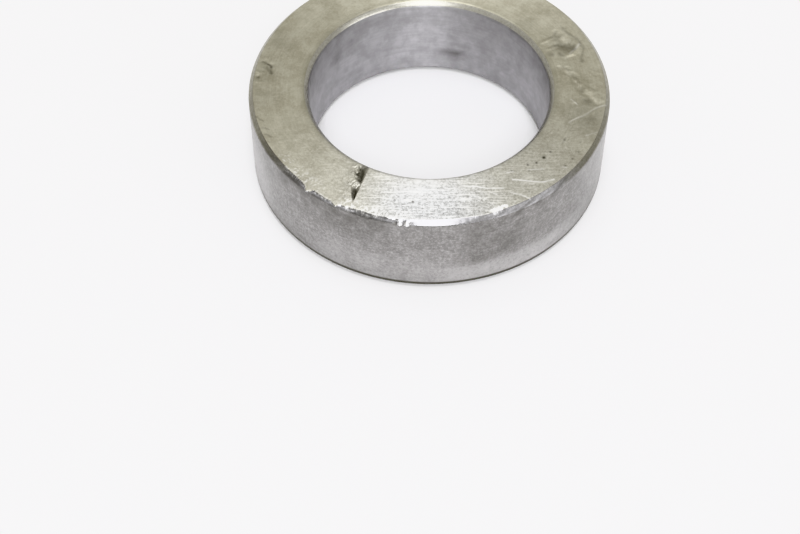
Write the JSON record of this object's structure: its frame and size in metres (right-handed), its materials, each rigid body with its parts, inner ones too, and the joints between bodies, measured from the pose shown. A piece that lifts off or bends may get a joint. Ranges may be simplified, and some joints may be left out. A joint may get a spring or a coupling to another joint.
{
  "type": "shaft collar",
  "caption": "Solid plain steel retaining ring with chamfered edges, pressed onto a round journal to hold a bearing or spacer along the shaft.",
  "frame": {"origin": "centre of the bore on the lower end face", "axes": "+Z along the bore axis, up from the lower end face to the upper one; the ring is the same all round that axis"},
  "size_m": [0.06, 0.06, 0.016],
  "materials": {
    "turned_steel": "satin turned steel, dulled and scratched by use"
  },
  "bodies": {
    "root": {"collar": "turned_steel"}
  },
  "joints": []
}
